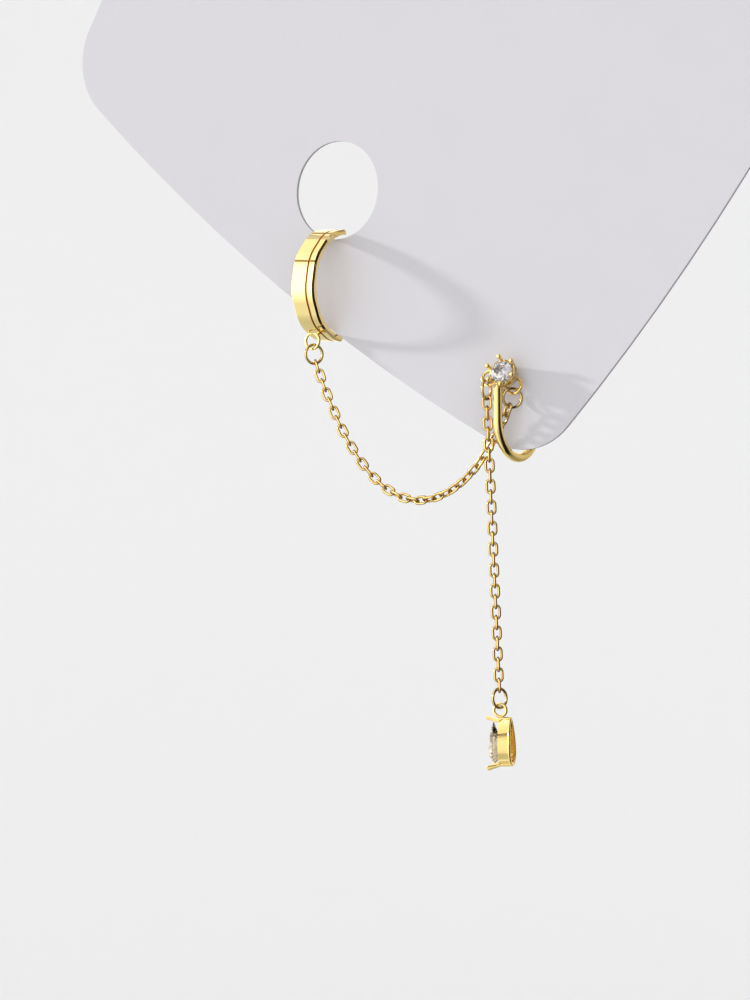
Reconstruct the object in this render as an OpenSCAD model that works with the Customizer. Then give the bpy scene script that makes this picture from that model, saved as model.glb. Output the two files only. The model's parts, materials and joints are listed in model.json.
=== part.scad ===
// Ear cuff and stone lobe clip joined by a fine link chain, with a pear drop on a second chain,
// hanging on the plain card that shows it. The origin is the card's topmost point, where it is held.

/* [Card] */
// Half the card's width, from its middle to the middle of a side
card_half = 46.5; // [44:0.1:50]
// Radius of the card's bulging sides
card_side_radius = 268; // [180:1:400]
// Radius of the card's corners
card_corner_radius = 8.5; // [5:0.5:12]
// Turn of the card in its own plane
card_turn = -37; // [-39:0.5:-35]
// Thickness of the card
card_t = 0.4; // [0.3:0.05:0.5]
// How far the card leans back
card_lean = 4; // [0:0.5:8]
// Diameter of the round hole that the cuff goes through
hole_d = 11.96; // [11.8:0.05:12.2]
// Hole's middle, right of the card's middle
hole_x = -19.56; // [-19.8:0.05:-19.3]
// Hole's middle, above the card's middle
hole_z = -25.7; // [-25.9:0.02:-25.5]

/* [Ear cuff] */
// Outer diameter of the cuff, over the soft corners of its flats
cuff_d = 13.7; // [13.4:0.05:13.9]
// Bore of the cuff
cuff_bore = 12.26; // [12:0.02:12.3]
// Width of the band
cuff_w = 3.36; // [3:0.02:3.4]
// Place of the groove, from the middle of the band
groove_x = 0.59; // [0.4:0.01:0.8]
// Width of the groove
groove_w = 0.18; // [0.1:0.02:0.3]
// Depth of the groove
groove_depth = 0.12; // [0.1:0.02:0.24]
// Bevel at the band's edges
cuff_bevel = 0.22; // [0.1:0.02:0.3]
// Angle between two flats of the band
cuff_flat = 36; // [36:1:36]
// Radius of the soft corners between the flats
cuff_corner = 4.5; // [3:0.1:6]
// Height of the band's upper end, as an angle from straight ahead
cuff_upper_end = 86; // [84:0.5:90]
// Height of the band's lower end, as an angle from straight ahead
cuff_lower_end = -91; // [-94:0.5:-86]
// Cuff's middle, right of the card's middle
cuff_x = -20.88; // [-21:0.02:-20.6]
// Cuff's middle, behind the card's middle
cuff_y = 0.98; // [0.8:0.02:1.2]
// Cuff's middle, above the card's middle
cuff_z = -37.08; // [-37.2:0.02:-37]
// Lean of the cuff to the right
cuff_tilt = 4; // [2:0.5:6]
// Distance of the soldered loop in front of the cuff's middle
cuff_loop_front = 2.72; // [2.5:0.02:2.9]
// Mean radius of the cuff's loop
cuff_loop_r = 0.97; // [0.85:0.01:1]

/* [Lobe clip] */
// Clip's stone, right of the card's middle
clip_x = 5.43; // [5.2:0.02:5.6]
// Clip's stone, above the card's middle
clip_z = -48.97; // [-49.1:0.02:-48.8]
// Distance from the card to the front of the clip's stone
clip_front = 2.75; // [2.7:0.05:2.9]
// Tilt of the setting: back, sideways and round
setting_turn = [-17.5, -9.3, 12.3];
// Diameter of the round stone
stone_d = 3; // [2.9:0.05:3.1]
// Radius of the circle through the six prong tips
prong_r = 1.74; // [1.7:0.02:1.8]
// Diameter of a prong
prong_d = 0.4; // [0.36:0.02:0.44]
// Depth of the setting, from the prong tips to its back
setting_depth = 2.3; // [2.2:0.05:2.4]
// Radius of the hook's bend
hook_r = 4.25; // [4.1:0.05:4.4]
// Wire of the hook
hook_d = 1.04; // [0.9:0.02:1.1]
// Length of the hook's straight front arm below the stone's middle
hook_drop = 5.85; // [5.7:0.05:6]
// Mean radius of the clip's two loops
clip_loop_r = 0.92; // [0.88:0.01:0.95]

/* [Chains] */
// Outer length of a chain link
link_l = 1.815; // [1.8:0.005:1.85]
// Outer width of a chain link
link_w = 1.14; // [1.08:0.01:1.2]
// Wire of a chain link
link_wire = 0.24; // [0.2:0.01:0.25]
// Clear gap between pieces that hang in each other
gap = 0.1; // [0.1:0.005:0.12]
// Links in the chain from the cuff to the clip
chain_links = 34; // [34:1:36]
// Links in the chain that carries the drop
drop_links = 28; // [24:1:30]
// How much flatter the right half of the hanging chain is than the left half
chain_skew = 1.2; // [1:0.01:1.6]
// Wire of a jump ring
ring_wire = 0.34; // [0.3:0.01:0.36]
// Mean radius of a jump ring
ring_r = 1.13; // [1.1:0.01:1.2]

/* [Pear drop] */
// Width of the pear stone
pear_w = 3.1; // [3:0.05:3.3]
// Length of the pear stone
pear_l = 5.15; // [5:0.05:5.4]
// Depth of the setting's wall
pear_wall_depth = 1.45; // [1.3:0.05:1.6]
// Mean radius of the drop's loop
pear_loop_r = 0.73; // [0.7:0.01:0.8]
// Outward lean of the drop's prongs
pear_prong_lean = 18; // [12:1:22]
// Direction that the pear stone faces, from straight ahead to the right
pear_facing = -69; // [-80:1:-60]

/* [Hidden] */
$fn = 48;
gold = [0.93, 0.74, 0.36];
clear_stone = [0.93, 0.94, 0.96];
card_grey = [0.86, 0.86, 0.87];

// Turning a point the way rotate() turns a solid
function about_x(a, p) = [p.x, p.y * cos(a) - p.z * sin(a), p.y * sin(a) + p.z * cos(a)];
function about_y(a, p) = [p.x * cos(a) + p.z * sin(a), p.y, -p.x * sin(a) + p.z * cos(a)];
function about_z(a, p) = [p.x * cos(a) - p.y * sin(a), p.x * sin(a) + p.y * cos(a), p.z];
function turned(a, p) = about_z(a.z, about_y(a.y, about_x(a.x, p)));
function unit(p) = p / norm(p);
// Horizontal direction at an azimuth: 0 is straight ahead to the front, 90 is to the right
function facing(a) = [sin(a), -cos(a), 0];

// Rounded square with bulging sides: corner circles touch the side circles from inside
side_back = card_side_radius - card_half;
corner_reach = card_side_radius - card_corner_radius;
corner_mid = (sqrt(2 * corner_reach * corner_reach - side_back * side_back) - side_back) / 2;
corner_half_angle = atan2(corner_mid, corner_mid + side_back);
side_steps = 12;
corner_steps = 12;
function side_arc() = [for (i = [0 : side_steps - 1])
    let (a = corner_half_angle * (2 * i / side_steps - 1))
    [card_side_radius * cos(a) - side_back, card_side_radius * sin(a)]];
function corner_arc() = [for (i = [0 : corner_steps - 1])
    let (a = corner_half_angle + (90 - 2 * corner_half_angle) * i / corner_steps)
    [corner_mid + card_corner_radius * cos(a), corner_mid + card_corner_radius * sin(a)]];
function turned_flat(a, p) = [p.x * cos(a) - p.y * sin(a), p.x * sin(a) + p.y * cos(a)];
card_outline = [for (q = [0 : 3]) for (p = concat(side_arc(), corner_arc()))
    turned_flat(90 * q + card_turn, p)];
card_top = max([for (p = card_outline) p.y]);
card_top_x = [for (p = card_outline) if (p.y == card_top) p.x][0];
// The card's middle, seen from the point where the card is held
card_mid = [-card_top_x, 0, -card_top];

// The cuff in the card's plane, and its loop
cuff_at = card_mid + [cuff_x, cuff_y, cuff_z];
cuff_r = cuff_d / 2;
cuff_flat_r = (cuff_r - cuff_corner) * cos(cuff_flat / 2) + cuff_corner;
// Height of the middle of the flat that faces forward
cuff_first_flat = 6.3;
cuff_loop_wire = 0.38;
cuff_loop_x = -0.83;
cuff_turn = [0, cuff_tilt, 0];
// The loop stands upright and is soldered to the lowest flat
cuff_loop_z = -sqrt(cuff_flat_r * cuff_flat_r - cuff_loop_front * cuff_loop_front) - cuff_loop_r + 0.14;
cuff_loop_own = [cuff_loop_x, -cuff_loop_front, cuff_loop_z];
cuff_loop_low = cuff_at + turned(cuff_turn, cuff_loop_own) - [0, 0, cuff_loop_r];

// The clip: the stone's front is its own zero point
clip_at = card_mid + [clip_x, -card_t / 2 - clip_front, clip_z];
clip_loop_wire = 0.38;
left_loop_at = [-1.62, 0.35, -0.86];
right_loop_at = [0.826, 2.007, -1.82];
hook_x = -0.37;
hook_y = 0.12;
hook_top = -2.1;
hook_sweep = 240;

// From the card's frame to the upright frame
function upright(p) = about_x(-card_lean, p);
// The left loop lies in the plane of the setting; the right loop is turned more to the front
right_loop_turn = [-17.5, -9.3, 2];
loop_normal = upright(turned(setting_turn, [0, 1, 0]));
loop_down = unit([0, 0, -1] + loop_normal.z * loop_normal);
right_loop_normal = upright(turned(right_loop_turn, [0, 1, 0]));
right_loop_down = unit([0, 0, -1] + right_loop_normal.z * right_loop_normal);
cuff_wire = upright(cuff_loop_low);
loop_across = unit([loop_normal.y, -loop_normal.x, 0]);
// The left ring rides a little up the left side of its loop
left_ring_ride = -22;
left_wire = upright(clip_at + left_loop_at)
    + clip_loop_r * (cos(left_ring_ride) * loop_down + sin(left_ring_ride) * loop_across);
right_wire = upright(clip_at + right_loop_at) + clip_loop_r * right_loop_down;

// Jump rings hang on those wires
cuff_ring_facing = 62;
chain_ring_facing = 50;
top_ring_facing = 97;
drop_ring_facing = 78;
// The tilted loops need a little more room where a ring crosses them
loop_room = 0.12;
loop_seat = ring_r - (clip_loop_wire + ring_wire) / 2 - gap - loop_room;
cuff_ring_lean = 17;
cuff_ring_at = cuff_wire + (ring_r - (cuff_loop_wire + ring_wire) / 2 - gap)
    * [sin(cuff_ring_lean), 0, -cos(cuff_ring_lean)];
top_ring_at = left_wire - [0, 0, loop_seat];
// The chain pulls its rings together
cuff_ring_pull = 12;
chain_ring_pull = 18;
chain_end_pull = 23;
cuff_ring_across = facing(cuff_ring_facing + 90);
ring_across = facing(chain_ring_facing + 90);
chain_ring_at = right_wire - loop_seat * (sin(chain_ring_pull) * ring_across
    + [0, 0, cos(chain_ring_pull)]);
chain_start = cuff_ring_at + ring_r * (sin(cuff_ring_pull) * cuff_ring_across
    - [0, 0, cos(cuff_ring_pull)]);
chain_end = chain_ring_at - ring_r * (sin(chain_end_pull) * ring_across + [0, 0, cos(chain_end_pull)]);

// Chain links: half the step between two links, and from a link's middle to a ring's wire
link_pitch = link_l - 2 * link_wire - gap;
link_to_ring = link_l / 2 - link_wire - gap - ring_wire / 2;
chain_length = 2 * link_to_ring + (chain_links - 1) * link_pitch;

// The chain hangs in one upright plane as two half catenaries that meet at its lowest point.
// A half catenary of size a, at the arc length s from its lowest point: how far across and how far up
function across(a, s) = a * ln(s / a + sqrt(1 + s * s / (a * a)));
function rise(a, s) = sqrt(a * a + s * s) - a;
// Halving a range until the wanted value is found; f rises over the range
function solve(f, low, high, steps = 40) = let (mid = (low + high) / 2)
    steps == 0 ? mid : f(mid) < 0 ? solve(f, mid, high, steps - 1) : solve(f, low, mid, steps - 1);
span = norm([chain_end.x - chain_start.x, chain_end.y - chain_start.y]);
fall = chain_start.z - chain_end.z;
function left_part(a) = solve(
    function (s) rise(a, s) - rise(a * chain_skew, chain_length - s) - fall, 0, chain_length);
function reach(a) = let (s = left_part(a))
    across(a, s) + across(a * chain_skew, chain_length - s);
curve_a = solve(function (a) reach(a) - span, 2, 20);
curve_s = left_part(curve_a);
function chain_slope(s) = s < curve_s ? -atan((curve_s - s) / curve_a)
    : atan((s - curve_s) / (curve_a * chain_skew));
function chain_place(s) = s < curve_s
    ? [across(curve_a, curve_s) - across(curve_a, curve_s - s),
       rise(curve_a, curve_s - s) - rise(curve_a, curve_s)]
    : [across(curve_a, curve_s) + across(curve_a * chain_skew, s - curve_s),
       rise(curve_a * chain_skew, s - curve_s) - rise(curve_a, curve_s)];
chain_heading = atan2(chain_end.y - chain_start.y, chain_end.x - chain_start.x);
// Roll of the links about the chain at its left and right ends
roll_start = -36;
roll_end = -22;

// The drop hangs below its top ring
drop_start = top_ring_at - [0, 0, ring_r];
drop_turn_start = 26;
drop_turn_end = 42;
drop_end = drop_start - [0, 0, 2 * link_to_ring + (drop_links - 1) * link_pitch];
drop_ring_at = drop_end - [0, 0, ring_r];
// The drop swings on the lowest wire of its ring
pivot = drop_ring_at - [0, 0, ring_r];

// The pear: a half circle below, and two arcs that meet in a point above
pear_r = pear_w / 2;
pear_point = pear_l - pear_r;
pear_side_r = (pear_point * pear_point + pear_r * pear_r) / (2 * pear_r);
pear_loop_wire = 0.36;
pear_loop_drop = pear_loop_r - (ring_wire + pear_loop_wire) / 2 - gap;
// Middle of the pear's round end, and the front and back of its wall, from the pivot
pear_mid_z = -5.03;
pear_wall_front = -0.15;
pear_wall_back = pear_wall_front + pear_wall_depth;
pear_prong_tip = -1.72;

module torus(radius, wire, sweep = 360) {
    rotate_extrude(angle = sweep) translate([radius, 0]) circle(d = wire, $fn = 24);
}

// A ring whose hole faces the given azimuth
module upright_ring(radius, wire, azimuth) {
    rotate([0, 0, azimuth]) rotate([90, 0, 0]) torus(radius, wire);
}

// One chain link along X, its hole facing Y
module chain_link() {
    bend = (link_w - link_wire) / 2;
    straight = link_l - link_w;
    rotate([90, 0, 0]) {
        for (side = [0, 1]) rotate([0, 0, 180 * side]) {
            translate([straight / 2, 0, 0]) rotate([0, 0, -90]) torus(bend, link_wire, 180);
            translate([-straight / 2, bend, 0]) rotate([0, 90, 0])
                cylinder(d = link_wire, h = straight, $fn = 24);
        }
    }
}

module display_card() {
    color(card_grey) rotate([-card_lean, 0, 0]) translate(card_mid) rotate([90, 0, 0])
        translate([0, 0, -card_t / 2]) difference() {
            linear_extrude(card_t) polygon(card_outline);
            translate([hole_x, hole_z, -1]) cylinder(d = hole_d, h = card_t + 2, $fn = 96);
        }
}

// Distance from the cuff's axis out to the band, at a height given as an angle
function band_out(height) =
    let (half = cuff_flat / 2,
         away = abs((height - cuff_first_flat + half + 20 * cuff_flat) % cuff_flat - half),
         flat_end = atan((cuff_flat_r - cuff_corner) * tan(half) / cuff_flat_r),
         arm = (cuff_flat_r - cuff_corner) / cos(half))
    away < flat_end ? cuff_flat_r / cos(away)
        : arm * cos(half - away) + sqrt(pow(cuff_corner, 2) - pow(arm * sin(half - away), 2));

// Section of the band at a height: across its front with both bevels and the groove, then the bore
function band_section(height, cut) =
    let (half = cuff_w / 2, inner = cuff_bore / 2, out = band_out(height) - cut)
    [for (p = [[-half, inner], [-half, out - cuff_bevel], [cuff_bevel - half, out],
               [groove_x - groove_w / 2, out], [groove_x, out - groove_depth],
               [groove_x + groove_w / 2, out], [half - cuff_bevel, out], [half, out - cuff_bevel],
               [half, inner]]) [p[0], -p[1] * cos(height), p[1] * sin(height)]];

// The band from its lower end up to its upper end, open at the back
module cuff_band() {
    steps = 60;
    corners = 9;
    end_cut = 0.16;
    points = [for (i = [0 : steps])
        each band_section(cuff_lower_end + (cuff_upper_end - cuff_lower_end) * i / steps,
            i == 0 || i == steps ? end_cut : 0)];
    sides = [for (i = [0 : steps - 1], k = [0 : corners - 1])
        let (a = i * corners + k, b = i * corners + (k + 1) % corners)
        each [[a, a + corners, b + corners], [a, b + corners, b]]];
    ends = [[for (k = [0 : corners - 1]) k], [for (k = [corners - 1 : -1 : 0]) steps * corners + k]];
    polyhedron(points, concat(ends, sides));
}

module ear_cuff() {
    color(gold) rotate([-card_lean, 0, 0]) translate(cuff_at) rotate(cuff_turn) {
        cuff_band();
        translate(cuff_loop_own) rotate([90, 0, 0]) torus(cuff_loop_r, cuff_loop_wire);
    }
}

module cuff_ring() {
    color(gold) translate(cuff_ring_at) upright_ring(ring_r, ring_wire, cuff_ring_facing);
}

module chain_ring() {
    color(gold) translate(chain_ring_at) upright_ring(ring_r, ring_wire, chain_ring_facing);
}

module drop_top_ring() {
    color(gold) translate(top_ring_at) upright_ring(ring_r, ring_wire, top_ring_facing);
}

module drop_ring() {
    color(gold) translate(drop_ring_at) upright_ring(ring_r, ring_wire, drop_ring_facing);
}

module link_chain() {
    color(gold) translate(chain_start) rotate([0, 0, chain_heading])
        for (i = [0 : chain_links - 1]) {
            s = link_to_ring + i * link_pitch;
            place = chain_place(s);
            roll = roll_start + (roll_end - roll_start) * i / (chain_links - 1) + 90 * ((i + 1) % 2);
            translate([place[0], 0, place[1]]) rotate([0, -chain_slope(s), 0]) rotate([roll, 0, 0])
                chain_link();
        }
}

module drop_chain() {
    color(gold) translate(drop_start)
        for (i = [0 : drop_links - 1]) {
            turn = drop_turn_start + (drop_turn_end - drop_turn_start) * i / (drop_links - 1)
                + 90 * (i % 2);
            translate([0, 0, -link_to_ring - i * link_pitch]) rotate([0, 0, turn]) rotate([0, 90, 0])
                chain_link();
        }
}

// Six prongs on a tapered cup with a window between each two; its own front is at y = 0
module setting_cup() {
    cup_front = 0.75;
    cup_r = stone_d / 2 + 0.1;
    cup_back_r = 1.34;
    window_d = 0.62;
    window_y = 1.4;
    difference() {
        rotate([-90, 0, 0]) translate([0, 0, cup_front])
            cylinder(r1 = cup_r, r2 = cup_back_r, h = setting_depth - cup_front, $fn = 64);
        for (i = [0 : 5]) rotate([0, 30 + 60 * i, 0]) translate([0, window_y, 0.8])
            cylinder(d = window_d, h = 2, $fn = 24);
    }
}

module setting_hollow() {
    hollow_front_r = stone_d / 2 - 0.12;
    hollow_back_r = 0.8;
    seat = 0.6;
    rotate([-90, 0, 0]) translate([0, 0, seat])
        cylinder(r1 = hollow_front_r, r2 = hollow_back_r, h = setting_depth - seat + 1, $fn = 64);
}

module prong() {
    root_r = 1.36;
    root_y = 2.1;
    lean = atan((prong_r - root_r) / root_y);
    length = norm([prong_r - root_r, root_y]);
    translate([0, 0, prong_r]) sphere(d = prong_d + 0.12, $fn = 24);
    translate([0, 0, prong_r]) rotate([-90 - lean, 0, 0])
        cylinder(d = prong_d, h = length, $fn = 24);
}

// The foot joins the hook's front arm to the underside of the cup
module hook_foot() {
    translate([-0.95, 0.78, -2]) cube([0.7, 1.4, 0.64]);
}

// The straight arms meet the bend in small rounded joints
module hook() {
    leg = 3.6;
    joint_d = hook_d + 0.04;
    joint_gap = 0.1;
    translate([hook_x, hook_y, joint_gap - hook_drop])
        cylinder(d = hook_d, h = hook_drop + hook_top - joint_gap, $fn = 32);
    translate([hook_x, hook_y, -hook_drop]) sphere(d = joint_d, $fn = 32);
    translate([hook_x, hook_y, hook_top]) cylinder(d1 = hook_d, d2 = 0.5 * hook_d, h = 0.4, $fn = 32);
    translate([hook_x, hook_y + hook_r, -hook_drop]) rotate([90, 0, 90]) rotate([0, 0, 180])
        rotate_extrude(angle = hook_sweep, $fn = 96) translate([hook_r, 0]) circle(d = hook_d, $fn = 32);
    translate([hook_x, hook_y + hook_r, -hook_drop]) rotate([hook_sweep - 180, 0, 0]) translate([0, hook_r, 0]) {
        translate([0, 0, joint_gap]) cylinder(d = hook_d, h = leg, $fn = 32);
        sphere(d = joint_d, $fn = 32);
    }
}

// The pad lies behind the card, square to it
module hook_pad() {
    pad_r = 1.1;
    pad_t = 0.5;
    pad_z = -0.1;
    translate([hook_x, clip_front + card_t + 0.12, pad_z]) rotate([-90, 0, 0])
        cylinder(r = pad_r, h = pad_t);
}

module lobe_clip() {
    color(gold) rotate([-card_lean, 0, 0]) translate(clip_at) {
        difference() {
            union() {
                rotate(setting_turn) {
                    setting_cup();
                    for (i = [0 : 5]) rotate([0, 60 * i, 0]) prong();
                    hook_foot();
                }
                for (place = [[left_loop_at, setting_turn], [right_loop_at, right_loop_turn]])
                    translate(place[0]) rotate(place[1]) rotate([90, 0, 0])
                        torus(clip_loop_r, clip_loop_wire);
                hook();
                hook_pad();
            }
            rotate(setting_turn) setting_hollow();
        }
    }
}

// A round brilliant whose table faces the front, and whose girdle is at y = 0
module brilliant(radius, crown, pavilion) {
    thin = 0.01;
    rotate([90, 0, 0]) hull() {
        translate([0, 0, crown - thin]) rotate([0, 0, 22.5]) cylinder(r = radius * 0.58, h = thin, $fn = 8);
        translate([0, 0, crown * 0.55]) cylinder(r = radius * 0.83, h = thin, $fn = 8);
        translate([0, 0, -0.03]) rotate([0, 0, 11.25]) cylinder(r = radius, h = 0.06, $fn = 16);
        translate([0, 0, -pavilion * 0.78]) cylinder(r = radius * 0.26, h = thin, $fn = 8);
        translate([0, 0, -pavilion]) cylinder(r = 0.06, h = thin, $fn = 8);
    }
}

module round_stone() {
    girdle_y = 0.58;
    color(clear_stone) rotate([-card_lean, 0, 0]) translate(clip_at) rotate(setting_turn)
        translate([0, girdle_y, 0]) brilliant(stone_d / 2 - 0.14, 0.5, 1.15);
}

// Pear outline with its point up, grown by an even amount
module pear_outline(grow) {
    far = 2 * pear_l;
    intersection() {
        circle(r = pear_r + grow);
        translate([-far, -far]) square([2 * far, far]);
    }
    intersection() {
        translate([pear_r - pear_side_r, 0]) circle(r = pear_side_r + grow, $fn = 96);
        translate([pear_side_r - pear_r, 0]) circle(r = pear_side_r + grow, $fn = 96);
        translate([-far, -0.001]) square([2 * far, far]);
    }
}

// The pear faces -Y in its own frame; the pivot is its zero point
module in_drop_frame() {
    translate(pivot) rotate([0, 0, pear_facing]) children();
}

// A flat prong at a distance up from the pear's middle, leaning outwards to its tip at the front
module pear_prong(reach, root) {
    prong_w = 0.5;
    prong_t = 0.42;
    length = (root - pear_prong_tip) / cos(pear_prong_lean);
    root_reach = reach - (root - pear_wall_front) * tan(pear_prong_lean);
    translate([0, root, root_reach]) rotate([90 - pear_prong_lean, 0, 0]) {
        translate([-prong_w / 2, -prong_t / 2, 0]) cube([prong_w, prong_t, length - prong_t / 2]);
        translate([-prong_w / 2, 0, length - prong_t / 2]) rotate([0, 90, 0])
            cylinder(d = prong_t, h = prong_w, $fn = 24);
    }
}

module pear_setting() {
    wall_out = 0.25;
    wall_in = -0.12;
    point_reach = 3.48;
    shoulder_reach = 1.72;
    shoulder = 24;
    color(gold) in_drop_frame() {
        difference() {
            translate([0, pear_wall_back, pear_mid_z]) rotate([90, 0, 0])
                linear_extrude(pear_wall_depth) pear_outline(wall_out);
            translate([0, pear_wall_back + 1, pear_mid_z]) rotate([90, 0, 0])
                linear_extrude(pear_wall_depth + 2) pear_outline(wall_in);
        }
        // The prong over the point, and one at each shoulder of the round end
        translate([0, 0, pear_mid_z]) pear_prong(point_reach, 0.5);
        for (side = [-1, 1]) translate([0, 0, pear_mid_z])
            rotate([0, 180 + shoulder * side, 0]) pear_prong(shoulder_reach, 0.6);
        translate([0, 0, -pear_loop_drop]) rotate([0, 90, 0]) torus(pear_loop_r, pear_loop_wire);
    }
}

module pear_stone() {
    thin = 0.01;
    girdle_y = -0.85;
    crown = 0.6;
    pavilion = 1.2;
    steps = 8;
    // Points of the outline: the round end from right to left, then the point
    function edge(size) = concat(
        [for (i = [0 : steps]) size * pear_r * [cos(-180 * i / steps), sin(-180 * i / steps)]],
        [for (i = [1 : 2]) let (a = 27 * i)
            size * [pear_side_r - pear_r - pear_side_r * cos(a * 0.9), pear_side_r * sin(a * 0.9)]],
        [[0, size * pear_point]],
        [for (i = [2 : -1 : 1]) let (a = 27 * i)
            size * [pear_r - pear_side_r + pear_side_r * cos(a * 0.9), pear_side_r * sin(a * 0.9)]]);
    color(clear_stone) in_drop_frame() translate([0, girdle_y, pear_mid_z]) rotate([90, 0, 0]) hull() {
        translate([0, 0.1, crown - thin]) linear_extrude(thin) polygon(edge(0.52));
        translate([0, 0, -0.03]) linear_extrude(0.06) polygon(edge(0.95));
        translate([0, 0, -pavilion]) cylinder(r = 0.1, h = thin, $fn = 8);
    }
}

display_card();
ear_cuff();
cuff_ring();
link_chain();
chain_ring();
lobe_clip();
round_stone();
drop_top_ring();
drop_chain();
drop_ring();
pear_setting();
pear_stone();
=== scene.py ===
import json
import logging
import math
from dataclasses import dataclass, field
from enum import Enum
from typing import Callable

import bmesh
import bpy
from bpy.types import Material, Node, NodeSocket
from mathutils import Matrix, Vector

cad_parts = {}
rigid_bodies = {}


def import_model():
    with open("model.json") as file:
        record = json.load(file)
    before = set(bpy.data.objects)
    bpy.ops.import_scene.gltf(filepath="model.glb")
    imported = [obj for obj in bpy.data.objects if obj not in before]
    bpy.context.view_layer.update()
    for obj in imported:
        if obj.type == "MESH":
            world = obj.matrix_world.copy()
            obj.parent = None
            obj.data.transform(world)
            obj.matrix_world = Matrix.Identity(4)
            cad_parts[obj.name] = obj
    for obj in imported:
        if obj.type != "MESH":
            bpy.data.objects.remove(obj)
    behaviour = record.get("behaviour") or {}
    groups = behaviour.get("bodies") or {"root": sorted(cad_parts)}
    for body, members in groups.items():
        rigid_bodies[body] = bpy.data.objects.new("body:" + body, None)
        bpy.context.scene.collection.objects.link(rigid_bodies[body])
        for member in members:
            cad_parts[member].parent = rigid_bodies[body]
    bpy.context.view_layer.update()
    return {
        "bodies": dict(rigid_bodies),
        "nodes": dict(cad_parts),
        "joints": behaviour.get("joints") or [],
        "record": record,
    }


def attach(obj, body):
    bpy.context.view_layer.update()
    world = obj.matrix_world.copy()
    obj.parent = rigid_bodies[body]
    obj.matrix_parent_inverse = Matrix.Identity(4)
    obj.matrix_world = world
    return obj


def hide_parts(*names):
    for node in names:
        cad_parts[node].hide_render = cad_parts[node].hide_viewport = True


MM = 0.001
LOG = logging.getLogger("earring")


class Body(Enum):
    """The two rigid bodies that pieces ride on."""

    CARD = "card_and_earring"
    DROP = "pear_drop"


class Slot(Enum):
    """Material slots of the record."""

    CARD = "paperboard"
    GOLD = "gold"
    CHAIN = "chain_gold"
    STONE = "clear_stone"


def point(x: float, y: float, z: float) -> Vector:
    """Returns a place given in millimetres as a vector in metres."""
    return Vector((x, y, z)) * MM


def turned(degrees: float, axis: str) -> Matrix:
    """Returns a rotation by an angle in degrees about an axis."""
    return Matrix.Rotation(math.radians(degrees), 3, axis)


def view_sides() -> tuple:
    """Returns the picture's level directions to the right and away from the camera."""
    across, ahead = math.cos(math.radians(VIEW_AZIMUTH)), math.sin(math.radians(VIEW_AZIMUTH))
    return Vector((across, ahead, 0.0)), Vector((-ahead, across, 0.0))


def circle_angles(count: int, offset: float = 0.0) -> list:
    """Returns evenly spaced angles round a circle, moved on by a part of their step."""
    return [2.0 * math.pi * (index + offset) / count for index in range(count)]


# Places of the model, in millimetres from the card's hold point
CLIP_STONE = (12.6964, -10.4246, -106.789)
CUFF_MIDDLE = (-13.6136, -5.6748, -95.202)
PENDANT_PIVOT = (10.7881, -10.4973, -146.546)
# From the drop's pivot down to the middle of the pear's round end, in millimetres
PEAR_DOWN = 5.03
# Angles of the model and of the picture, in degrees
CARD_LEAN = 4.0
CUFF_TILT = 4.0
VIEW_AZIMUTH = 34.0


def pear_outline(width: float, length: float, angle: float) -> Vector:
    """Gives a point of a pear outline, measured from the middle of its round end.

    Args:
        width: Width of the pear.
        length: Length of the pear.
        angle: Angle from the pear's point, clockwise.

    Returns:
        The place across and up, in the unit of the sizes.
    """
    half = width / 2.0
    tip = length - half
    side = (tip * tip + half * half) / (2.0 * half)
    across, up = math.sin(angle), math.cos(angle)
    if up <= 0.0:
        return Vector((across, up)) * half
    back = side - half
    reach = -back * abs(across) + math.sqrt(side * side - (back * up) ** 2)
    return Vector((across, up)) * reach


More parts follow.
